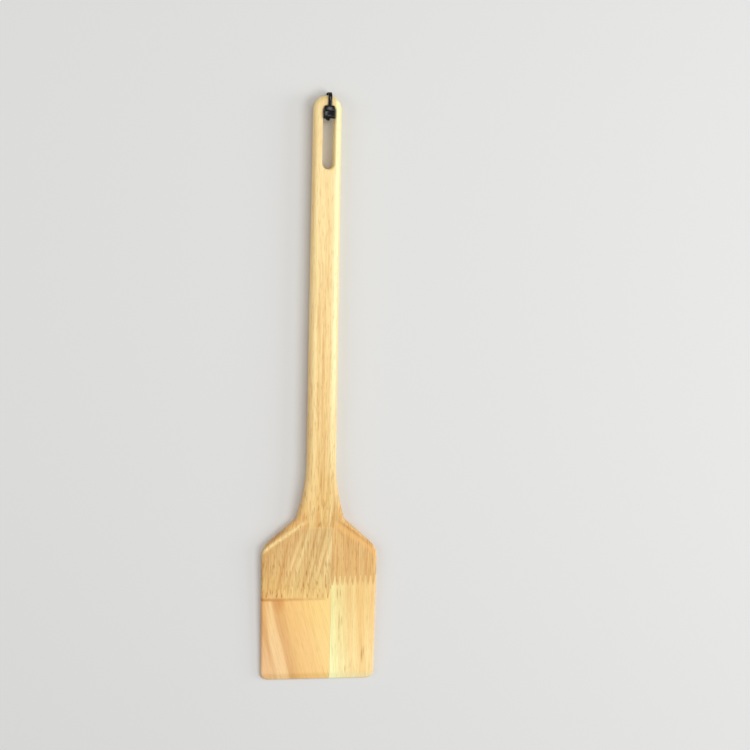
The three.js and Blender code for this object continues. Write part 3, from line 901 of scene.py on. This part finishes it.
# %% Handle stave: straw, browner and more open-pored towards the blade
def blade_lean(tree, up):
    return product(tree, rescale(tree, up, 125.0, 75.0, 0.0, 50.0), 0.24)


def straw_touch(tree, color, open_pores, x, up, depth):
    tint = ramp(tree, up, [
        (60, paint(251, 242, 214)), (75, paint(239, 231, 212)), (95, paint(235, 227, 215)),
        (119.5, paint(243, 230, 211)), (134, paint(248, 238, 221)), (150, paint(245, 235, 217)),
        (175, paint(247, 240, 229)), (260, paint(254, 253, 251)), (440, paint(255, 255, 255))])
    color = shade(tree, 1.0, color, tint)
    # Painted shade: the front of the dish's floor darkens towards the neck's step above it.
    dish_end = rescale(tree, up, 118.8, 120.2, 1.0, 0.0)
    dish_start = rescale(tree, up, 95.0, 118.0)
    painted_dish_shade = product(tree, dish_start, dish_end, on_front(tree, depth))
    color = shade(tree, painted_dish_shade, color, paint(240, 241, 247))
    paler_handle = rescale(tree, up, 230.0, 440.0, 0.0, 0.4)
    color = mix(tree, paler_handle, color, paint(255, 233, 172))
    # Painted highlight: the rounded right edge of the handle is mixed towards pale straw, fading out
    # towards the blade.
    painted_edge_highlight = rescale(tree, x, 4.7, 6.6, 0.0, 0.85)
    painted_edge_highlight = product(tree, painted_edge_highlight, rescale(tree, up, 150.0, 245.0, 0.1, 1.0))
    color = mix(tree, painted_edge_highlight, color, paint(254, 246, 190))
    # Pale streaks of the wood; the broad spot at x -10, up 152 is painted light on the left rounded edge
    # of the neck, lifting its shade.
    pale_streaks_and_edge_light = spots(tree, x, up, [
        (6.2, 95, 2.3, 25, 0.21), (9.2, 108, 1.4, 13, 0.25), (1.3, 95, 2.2, 25, 0.26),
        (-14.4, 97, 2.2, 24, 0.3), (-19.6, 97, 2.0, 23, 0.33), (-8.7, 134, 1.5, 26, -0.06),
        (-6.3, 138, 1.0, 24, -0.03), (-10.0, 152, 4.0, 26), (0.2, 130, 0.9, 12),
        (5.0, 130, 0.9, 13), (7.4, 133, 1.0, 18)])
    color = mix(tree, product(tree, pale_streaks_and_edge_light, 0.7), color, paint(251, 220, 154))
    brown_streaks = spots(tree, x, up, [
        (3.8, 97, 1.2, 18, 0.27), (-0.8, 160, 1.1, 18), (-2.7, 129, 1.4, 13),
        (5.7, 158, 0.6, 10), (8.9, 127, 0.9, 10), (3.9, 142, 0.6, 8)])
    color = shade(tree, product(tree, brown_streaks, 0.6), color, BROWN_SHADE)
    # Painted highlight along the left wall of the dish, broken up by a slow noise.
    highlight_breakup = noise(tree, combine(tree, x, up), (0.35, 0.35, 1), 6, 2)
    highlight_breakup = rescale(tree, highlight_breakup, 0.35, 0.55, 0.55, 1.0)
    painted_cove_highlight = product(tree, cove_band(tree, x, up, depth, -1, 3.2, 2.3), highlight_breakup)
    color = mix(tree, painted_cove_highlight, color, paint(254, 226, 160))
    # Painted shade on the outer slope of the left rim.
    painted_rim_shade = product(tree, cove_band(tree, x, up, depth, -1, 6.6, 1.8), 0.25)
    color = shade(tree, painted_rim_shade, color, BROWN_SHADE)
    pore_share = ramp(tree, up, [
        (60, grey(0.85)), (92, grey(0.62)), (112, grey(0.32)), (119, grey(0.28)), (120.5, grey(0.7)),
        (140, grey(0.55)), (165, grey(0.45)), (190, grey(0.35)), (440, grey(0.2))])
    golden_fingers = rescale(tree, up, 69.0, 65.0, 0.0, 0.45)
    color = mix(tree, golden_fingers, color, paint(250, 212, 128))
    tips = fingertips(tree, x, up, EDGE_GLUE_X, 66.5, 4)
    return color, maths(tree, "MAXIMUM", product(tree, open_pores, pore_share), tips)


straw_wood = wood("straw_wood", [
    (-46, paint(246, 208, 140)), (-30, paint(242, 204, 136)), (-20, paint(248, 210, 142)),
    (-12, paint(248, 212, 146)), (-9.5, paint(250, 217, 150)), (-7, paint(255, 232, 168)),
    (-5, paint(251, 222, 156)), (-1.5, paint(249, 217, 150)), (0, paint(245, 210, 143)),
    (1.5, paint(249, 218, 151)), (5, paint(251, 221, 155)), (7, paint(254, 229, 164)),
    (9.4, paint(249, 218, 151)), (12, paint(251, 223, 156)), (22, paint(246, 212, 145))],
    seed=3, lean=blade_lean, fibre_lean=None, wander=1.0,
    dark=0.6, pale=0.35, fine=0.52, pores=0.75, touch=straw_touch)


# %% Side stave: even orange tan with fine lines
def tan_touch(tree, color, open_pores, x, up, depth):
    # Painted highlight: on the neck and handle this stave forms only the rounded right edge, which is
    # mixed towards a pale yellow.
    neck_edge_highlight = rescale(tree, up, 135.0, 175.0, 0.0, 0.65)
    color = mix(tree, neck_edge_highlight, color, paint(253, 236, 174))
    paler_handle = rescale(tree, up, 200.0, 420.0, 0.0, 0.7)
    color = mix(tree, paler_handle, color, paint(253, 240, 182))
    # Painted shade on the right wall of the dish: a broad orange band, and a darker line by the crest.
    painted_cove_shade = product(tree, cove_band(tree, x, up, depth, 1, 2.2, 3.6), 0.75)
    color = mix(tree, painted_cove_shade, color, paint(255, 199, 122))
    painted_crest_shade = product(tree, cove_band(tree, x, up, depth, 1, 5.0, 0.9), 0.5)
    color = shade(tree, painted_crest_shade, color, BROWN_SHADE)
    neck_streak = product(tree, spot(tree, x, up, 10.2, 128, 1.0, 11), 0.6)
    color = shade(tree, neck_streak, color, BROWN_SHADE)
    pale_fingers = rescale(tree, up, 78.0, 75.0, 0.0, 0.65)
    color = mix(tree, pale_fingers, color, paint(251, 220, 152))
    tips = fingertips(tree, x, up, reach_x, 75.8, 9)
    open_pores = product(tree, open_pores, rescale(tree, up, 125.0, 165.0, 1.0, 0.2))
    return color, maths(tree, "MAXIMUM", open_pores, product(tree, tips, 0.35))


tan_wood = wood("tan_wood", [
    (8, paint(234, 193, 124)), (14, paint(232, 189, 118)), (22, paint(227, 182, 111)),
    (30, paint(231, 187, 117)), (38, paint(226, 179, 108)), (47, paint(236, 193, 122))],
    seed=11, lean=None, fibre_lean=None, wander=0.4,
    dark=0.35, pale=0.15, fine=0.58, pores=0.35, touch=tan_touch)

# %% Left block: a pink stripe at a slant, then orange turning yellow
LEFT_LINE_UP = 63.2


def left_slant(tree, up):
    return product(tree, up, 0.244)


def striped_touch(tree, color, open_pores, x, up, depth):
    above = rescale(tree, up, LEFT_LINE_UP - 0.3, LEFT_LINE_UP + 0.3)
    golden = rescale(tree, up, 25.0, 55.0, 0.0, 0.8)
    color = shade(tree, golden, color, paint(252, 248, 234))
    warm = ramp(tree, x, [
        (-45, paint(238, 196, 124)), (-20, paint(244, 203, 128)), (10, paint(253, 218, 140))])
    dull = rescale(tree, finger_noise(tree, x, 0.26, 8), 0.4, 0.62, 0.0, 0.7)
    warm = mix(tree, dull, warm, paint(228, 186, 118))
    color = mix(tree, product(tree, above, 0.85), color, warm)
    to_right = rescale(tree, x, -40.0, 6.0, 0.8, 0.1)
    line = product(tree, near(tree, up, LEFT_LINE_UP + 0.5, 1.9), to_right)
    color = shade(tree, line, color, paint(214, 172, 118))
    patch = product(tree, spot(tree, x, up, -30.5, 61.0, 6.0, 9.0), 0.5)
    color = shade(tree, patch, color, paint(226, 186, 136))
    edge_strip = product(tree, near(tree, x, -45.0, 7.5), rescale(tree, up, 8.0, 45.0, 0.1, 0.9))
    color = shade(tree, edge_strip, color, paint(238, 216, 186))
    from_left = maths(tree, "MULTIPLY_ADD", up, 0.104, x)
    outer_strip = rescale(tree, from_left, -34.6, -35.8, 0.0, 0.5)
    color = shade(tree, outer_strip, color, paint(248, 238, 228))
    dark_line = product(tree, spot(tree, x, up, -38.2, 25.0, 2.6, 34.0, -0.24), 0.75)
    color = shade(tree, dark_line, color, paint(226, 205, 180))
    # Painted shade on the bevel of the tip.
    color = shade(tree, on_bevel(tree, up, 0.8), color, paint(250, 248, 238))
    return color, open_pores


striped_wood = wood("striped_wood", [
    (-44, paint(247, 205, 152)), (-34, paint(246, 205, 150)), (-30, paint(249, 210, 152)),
    (-23.4, paint(250, 211, 152)), (-22.0, paint(244, 200, 141)), (-21.0, paint(230, 180, 118)),
    (-15.5, paint(234, 184, 116)), (-10.5, paint(248, 203, 131)), (-0.2, paint(252, 208, 136)),
    (10.8, paint(255, 219, 143)), (25.8, paint(255, 224, 148))],
    seed=23, lean=left_slant, fibre_lean=left_slant, wander=0.3,
    dark=0.2, pale=0.12, fine=0.24, pores=0.1, touch=striped_touch)


# %% Right block: nearly straight pale and tan bands with a few dark flecks
def right_slant(tree, up):
    return maths(tree, "MULTIPLY_ADD", up, 0.045, -1.5)


def banded_touch(tree, color, open_pores, x, up, depth):
    tint = ramp(tree, up, [
        (14, paint(255, 255, 255)), (33, paint(254, 250, 244)), (65, paint(247, 239, 225))])
    color = shade(tree, 1.0, color, tint)
    flecks = spots(tree, x, up, [
        (16.2, 45, 0.5, 13), (17.9, 46, 0.45, 6), (16.4, 33, 0.45, 5), (14.4, 68, 0.5, 6),
        (16.8, 68, 0.5, 5), (34.6, 19, 1.0, 8), (36.0, 22, 0.5, 5), (21.6, 8, 0.5, 4)])
    dull = rescale(tree, finger_noise(tree, x, 0.26, 12), 0.38, 0.6, 0.15, 0.6)
    dull = product(tree, dull, rescale(tree, up, 73.0, 76.0))
    color = mix(tree, dull, color, paint(238, 202, 134))
    # Painted light on the bevel of the tip, lifting its shade.
    color = mix(tree, on_bevel(tree, up, 0.3), color, paint(255, 248, 196))
    return color, maths(tree, "MAXIMUM", product(tree, flecks, 0.85), open_pores)


banded_wood = wood("banded_wood", [
    (9.0, paint(255, 255, 191)), (13.2, paint(255, 251, 186)), (14.6, paint(255, 246, 181)),
    (17.5, paint(254, 235, 170)), (19.3, paint(255, 243, 178)), (20.9, paint(254, 232, 167)),
    (22.8, paint(254, 233, 166)), (24.8, paint(252, 221, 155)), (26.6, paint(252, 222, 156)),
    (28.2, paint(255, 233, 165)), (30.6, paint(253, 222, 154)), (33.8, paint(252, 217, 147)),
    (36.0, paint(252, 217, 148)), (38.0, paint(255, 230, 163)), (40.0, paint(253, 223, 156)),
    (41.6, paint(253, 218, 152)), (47, paint(254, 219, 153))],
    seed=31, lean=right_slant, fibre_lean=None, wander=0.12,
    dark=0.22, pale=0.15, fine=0.28, pores=0.14, touch=banded_touch)

# %% [markdown]
# ## Glue and nylon
# The glue is a thin amber film that only shows as a hair line. The tie is black nylon: nearly black,
# with a soft sheen, and faint flow marks that break the highlights.

# %% Glue and nylon
SPECKLE_SCALE = 900


def speckled(name, first, second, rough_low, rough_high, bump_depth, specular):
    finish, tree, place = new_finish(name)
    grainy = noise(tree, place, (SPECKLE_SCALE, SPECKLE_SCALE, SPECKLE_SCALE), 5, 3)
    roughness = rescale(tree, grainy, 0.3, 0.7, rough_low, rough_high)
    set_shader(tree, mix(tree, grainy, first, second), roughness, specular, grainy, bump_depth)
    return finish


amber_glue = speckled("amber_glue", paint(196, 146, 84), paint(222, 176, 110),
                      rough_low=0.4, rough_high=0.6, bump_depth=0.0001, specular=0.5)
black_nylon = speckled("black_nylon", paint(10, 9, 10), paint(19, 18, 20),
                       rough_low=0.14, rough_high=0.2, bump_depth=0.00001, specular=0.3)
finishes = (straw_wood, tan_wood, striped_wood, banded_wood, amber_glue, black_nylon)
print("finishes", [finish.name for finish in finishes])

# %% [markdown]
# ## Hanging each piece on the frame
# Every finished piece rides on the CAD body that it belongs to and takes its finish. Where it stands for
# a plain solid, that solid is hidden. The four staves and the glue ride on one body, and the tie on a
# body of its own.

# %% Pieces, bodies and slots
def hang(piece, body, node, finish):
    piece.data.materials.clear()
    piece.data.materials.append(finish)
    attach(piece, body)
    if node:
        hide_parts(node)


hang(handle_stave, "wood", "handle_stave", straw_wood)
hang(side_stave, "wood", "side_stave", tan_wood)
hang(left_block, "wood", "left_blade_block", striped_wood)
hang(right_block, "wood", "right_blade_block", banded_wood)
hang(edge_glue, "wood", "edge_glue_line", amber_glue)
hang(left_glue, "wood", "left_finger_glue", amber_glue)
hang(right_glue, "wood", "right_finger_glue", amber_glue)
hang(strap, "tie", "hang_tie", black_nylon)
hang(head, "tie", None, black_nylon)
hang(tail, "tie", None, black_nylon)

# %% [markdown]
# ## Floor, light and camera
# The spatula lies on a plain pale floor. Two large soft lights stand to the right, one high and one low,
# so that the right edge of the handle shines and the left one falls into shade; a painted highlight in
# the wood adds to the shine. A smaller light beyond the handle's end puts a gleam on the tie, and a weak
# one fills in from the left. Their strength is set so that a colour comes out about as it is written. The
# camera looks down from a little to the left, as in the photograph.

# %% Floor
deselect()
bpy.ops.mesh.primitive_plane_add(size=8, location=(0, 0, 0))
floor = new_piece("pale_floor")
paper = bpy.data.materials.new("pale_paper")
paper.use_nodes = True
paper_shader = paper.node_tree.nodes["Principled BSDF"]
paper_shader.inputs["Base Color"].default_value = (0.7, 0.7, 0.69, 1)
paper_shader.inputs["Roughness"].default_value = 0.9
floor.data.materials.append(paper)


# %% Light
def soft_light(name, place, size, power):
    """A square light that looks at the middle of the spatula."""
    lamp = bpy.data.lights.new(name, "AREA")
    lamp.size = size
    lamp.energy = power
    holder = bpy.data.objects.new(name, lamp)
    bpy.context.collection.objects.link(holder)
    holder.location = place
    holder.rotation_euler = (-Vector(place)).to_track_quat("-Z", "Y").to_euler()


soft_light("window_right", (0.95, -0.12, 1.6), size=0.9, power=14)
soft_light("low_right", (2.0, 0.13, 0.8), size=0.95, power=13)
soft_light("fill_above", (0.23, 0.6, 1.6), size=0.45, power=4.2)
soft_light("fill_left", (-1.2, 0.2, 1.0), size=0.9, power=5)
world = bpy.data.worlds.new("soft_room")
world.use_nodes = True
background = world.node_tree.nodes["Background"]
background.inputs["Color"].default_value = (1, 1, 1, 1)
background.inputs["Strength"].default_value = 0.39
bpy.context.scene.world = world
bpy.context.scene.view_settings.view_transform = "Standard"


# %% Camera
def photo_camera(yaw, pitch, roll, aim, distance, lens):
    """A camera at a distance from the point it aims at, turned aside, up and round by three angles."""
    back = Vector((-math.tan(yaw), math.tan(pitch), 1)).normalized()
    right = Vector((0, 1, 0)).cross(back).normalized()
    up = back.cross(right)
    turned_right = right * math.cos(roll) + up * math.sin(roll)
    turned_up = up * math.cos(roll) - right * math.sin(roll)
    camera = bpy.data.cameras.new("photo_camera")
    camera.lens = lens
    camera.sensor_width = 36
    camera.clip_end = 20
    holder = bpy.data.objects.new("photo_camera", camera)
    bpy.context.collection.objects.link(holder)
    place = Vector(aim) + back * distance
    holder.matrix_world = Matrix((
        (turned_right.x, turned_up.x, back.x, place.x),
        (turned_right.y, turned_up.y, back.y, place.y),
        (turned_right.z, turned_up.z, back.z, place.z),
        (0, 0, 0, 1)))
    bpy.context.scene.camera = holder


photo_camera(yaw=math.radians(9.6), pitch=math.radians(6.2), roll=math.radians(1.12),
             aim=(0.0416, 0.0126, 0), distance=1.541, lens=96)
